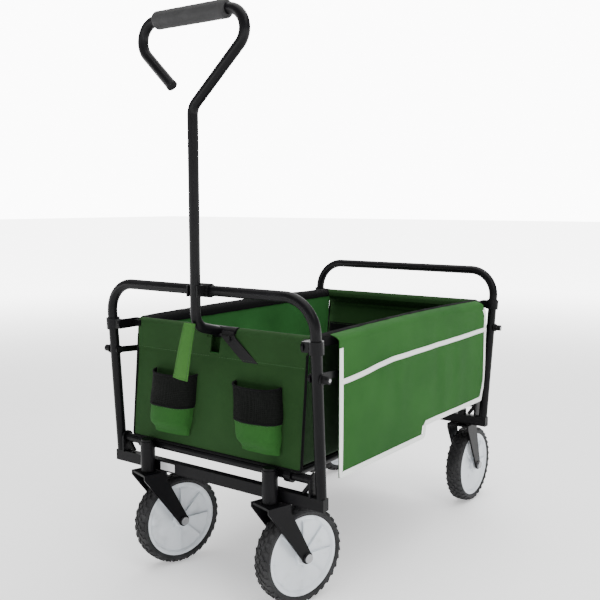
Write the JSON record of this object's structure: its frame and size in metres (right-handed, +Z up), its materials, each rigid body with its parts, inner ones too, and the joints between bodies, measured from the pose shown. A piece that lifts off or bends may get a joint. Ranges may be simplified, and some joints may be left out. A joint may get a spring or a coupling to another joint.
{
  "type": "garden cart",
  "caption": "Folding garden cart with a green fabric tub on a black steel tube frame, swivelling front casters, fixed rear wheels and a tilting pull handle.",
  "frame": {"origin": "floor level under the middle of the cart's overall box", "axes": "+Z up, the front of the cart with its handle and drink pouches faces -Y, +X is the side with the side bag"},
  "size_m": [0.534, 0.8473, 1.043],
  "materials": {
    "frame_paint": "satin black powder coat",
    "black_plastic": "moulded black plastic",
    "foam": "matt black foam",
    "tub_fabric": "woven polyester, bright green",
    "floor_fabric": "woven polyester, black",
    "zinc_steel": "zinc plated",
    "hub_plastic": "moulded near-white plastic",
    "tyre": "moulded black tread",
    "label": "blank label"
  },
  "bodies": {
    "front_end": {"front_frame": "frame_paint", "front_crossbar": "frame_paint", "front_cross_rod": "frame_paint", "front_rail": "frame_paint", "front_rail_brackets": "frame_paint", "caster_sleeves": "frame_paint", "handle_clip": "black_plastic", "handle_collar": "black_plastic", "front_panel": "tub_fabric", "cup_holder_left": "tub_fabric", "cup_holder_right": "tub_fabric", "blank_label": "label", "front_bolts": "black_plastic", "side_wall_left": "tub_fabric", "side_wall_right": "tub_fabric", "side_bag": "tub_fabric"},
    "handle": {"handle_tube": "frame_paint", "handle_sleeve": "frame_paint", "handle_grip": "foam"},
    "strap": {"tie_strap": "tub_fabric"},
    "base_front": {"base_frame_front": "frame_paint", "floor_board_front": "floor_fabric"},
    "base_rear": {"base_frame_rear": "frame_paint", "floor_board_rear": "floor_fabric", "base_feet": "black_plastic"},
    "rear_end": {"rear_frame": "frame_paint", "rear_crossbar": "frame_paint", "rear_cross_rod": "frame_paint", "rear_rail": "frame_paint", "rear_rail_brackets": "frame_paint", "rear_panel": "tub_fabric", "rear_bolts": "black_plastic", "fork_rear_left": "frame_paint", "fork_rear_right": "frame_paint", "axle_rear_left": "zinc_steel", "axle_rear_right": "zinc_steel"},
    "rail_front_left": {"rail_front_left": "frame_paint"},
    "rail_rear_left": {"rail_rear_left": "frame_paint"},
    "stretcher_front_left": {"stretcher_front_left": "frame_paint"},
    "stretcher_rear_left": {"stretcher_rear_left": "frame_paint"},
    "caster_left": {"fork_front_left": "frame_paint", "stem_front_left": "frame_paint", "axle_front_left": "zinc_steel"},
    "wheel_front_left": {"hub_front_left": "hub_plastic", "tyre_front_left": "tyre"},
    "wheel_rear_left": {"hub_rear_left": "hub_plastic", "tyre_rear_left": "tyre"},
    "rail_front_right": {"rail_front_right": "frame_paint"},
    "rail_rear_right": {"rail_rear_right": "frame_paint"},
    "stretcher_front_right": {"stretcher_front_right": "frame_paint"},
    "stretcher_rear_right": {"stretcher_rear_right": "frame_paint"},
    "caster_right": {"fork_front_right": "frame_paint", "stem_front_right": "frame_paint", "axle_front_right": "zinc_steel"},
    "wheel_front_right": {"hub_front_right": "hub_plastic", "tyre_front_right": "tyre"},
    "wheel_rear_right": {"hub_rear_right": "hub_plastic", "tyre_rear_right": "tyre"}
  },
  "joints": [
    {"name": "fold", "type": "hinge", "parent": "front_end", "child": "base_front", "pos_m": [0, -0.367, 0.246], "axis": [1, 0, 0], "range_deg": [0, 68], "deforming": ["side_wall_left", "side_wall_right", "side_bag"]},
    {"name": "base_middle_fold", "type": "hinge", "parent": "base_front", "child": "base_rear", "pos_m": [0, -0.036, 0.246], "axis": [1, 0, 0], "range_deg": [-136, 0]},
    {"name": "rear_end_fold", "type": "hinge", "parent": "base_rear", "child": "rear_end", "pos_m": [0, 0.295, 0.246], "axis": [1, 0, 0], "range_deg": [0, 68]},
    {"name": "rail_front_left_fold", "type": "hinge", "parent": "front_end", "child": "rail_front_left", "pos_m": [-0.209, -0.342, 0.476], "axis": [1, 0, 0], "range_deg": [-68, 0]},
    {"name": "rail_rear_left_fold", "type": "hinge", "parent": "rail_front_left", "child": "rail_rear_left", "pos_m": [-0.209, -0.011, 0.476], "axis": [1, 0, 0], "range_deg": [0, 136]},
    {"name": "stretcher_front_left_fold", "type": "hinge", "parent": "front_end", "child": "stretcher_front_left", "pos_m": [-0.23, -0.3796, 0.424], "axis": [1, 0, 0], "range_deg": [-65.65, 0]},
    {"name": "stretcher_rear_left_fold", "type": "hinge", "parent": "stretcher_front_left", "child": "stretcher_rear_left", "pos_m": [-0.227, -0.02691, 0.424], "axis": [1, 0, 0], "range_deg": [0, 131.3]},
    {"name": "caster_swivel_left", "type": "hinge", "parent": "front_end", "child": "caster_left", "pos_m": [-0.149, -0.387, 0.23], "axis": [0, 0, 1], "continuous": true},
    {"name": "wheel_spin_front_left", "type": "hinge", "parent": "caster_left", "child": "wheel_front_left", "pos_m": [-0.13191, -0.3274, 0.089], "axis": [0.9613, -0.2756, 0], "continuous": true},
    {"name": "wheel_spin_rear_left", "type": "hinge", "parent": "rear_end", "child": "wheel_rear_left", "pos_m": [-0.19, 0.335, 0.089], "axis": [1, 0, 0], "continuous": true},
    {"name": "rail_front_right_fold", "type": "hinge", "parent": "front_end", "child": "rail_front_right", "pos_m": [0.209, -0.342, 0.476], "axis": [1, 0, 0], "range_deg": [-68, 0]},
    {"name": "rail_rear_right_fold", "type": "hinge", "parent": "rail_front_right", "child": "rail_rear_right", "pos_m": [0.209, -0.011, 0.476], "axis": [1, 0, 0], "range_deg": [0, 136]},
    {"name": "stretcher_front_right_fold", "type": "hinge", "parent": "front_end", "child": "stretcher_front_right", "pos_m": [0.23, -0.3796, 0.424], "axis": [1, 0, 0], "range_deg": [-65.65, 0]},
    {"name": "stretcher_rear_right_fold", "type": "hinge", "parent": "stretcher_front_right", "child": "stretcher_rear_right", "pos_m": [0.227, -0.02691, 0.424], "axis": [1, 0, 0], "range_deg": [0, 131.3]},
    {"name": "caster_swivel_right", "type": "hinge", "parent": "front_end", "child": "caster_right", "pos_m": [0.149, -0.387, 0.23], "axis": [0, 0, 1], "continuous": true},
    {"name": "wheel_spin_front_right", "type": "hinge", "parent": "caster_right", "child": "wheel_front_right", "pos_m": [0.16609, -0.3274, 0.089], "axis": [0.9613, -0.2756, 0], "continuous": true},
    {"name": "wheel_spin_rear_right", "type": "hinge", "parent": "rear_end", "child": "wheel_rear_right", "pos_m": [0.19, 0.335, 0.089], "axis": [1, 0, 0], "continuous": true},
    {"name": "handle_tilt", "type": "hinge", "parent": "front_end", "child": "handle", "pos_m": [0, -0.342, 0.476], "axis": [1, 0, 0], "range_deg": [0, 75]},
    {"name": "strap_hang", "type": "hinge", "parent": "handle", "child": "strap", "pos_m": [0, -0.41879, 0.50252], "axis": [1, 0, 0], "range_deg": [-75, 0]}
  ],
  "couplings": [
    {"joint": "base_middle_fold", "follows": "fold", "ratio": -2},
    {"joint": "rear_end_fold", "follows": "fold", "ratio": 1},
    {"joint": "rail_front_left_fold", "follows": "fold", "ratio": -1},
    {"joint": "rail_rear_left_fold", "follows": "fold", "ratio": 2},
    {"joint": "stretcher_front_left_fold", "follows": "fold", "ratio": -0.9647},
    {"joint": "stretcher_rear_left_fold", "follows": "fold", "ratio": 1.9294},
    {"joint": "rail_front_right_fold", "follows": "fold", "ratio": -1},
    {"joint": "rail_rear_right_fold", "follows": "fold", "ratio": 2},
    {"joint": "stretcher_front_right_fold", "follows": "fold", "ratio": -0.9647},
    {"joint": "stretcher_rear_right_fold", "follows": "fold", "ratio": 1.9294},
    {"joint": "strap_hang", "follows": "handle_tilt", "ratio": -1}
  ]
}
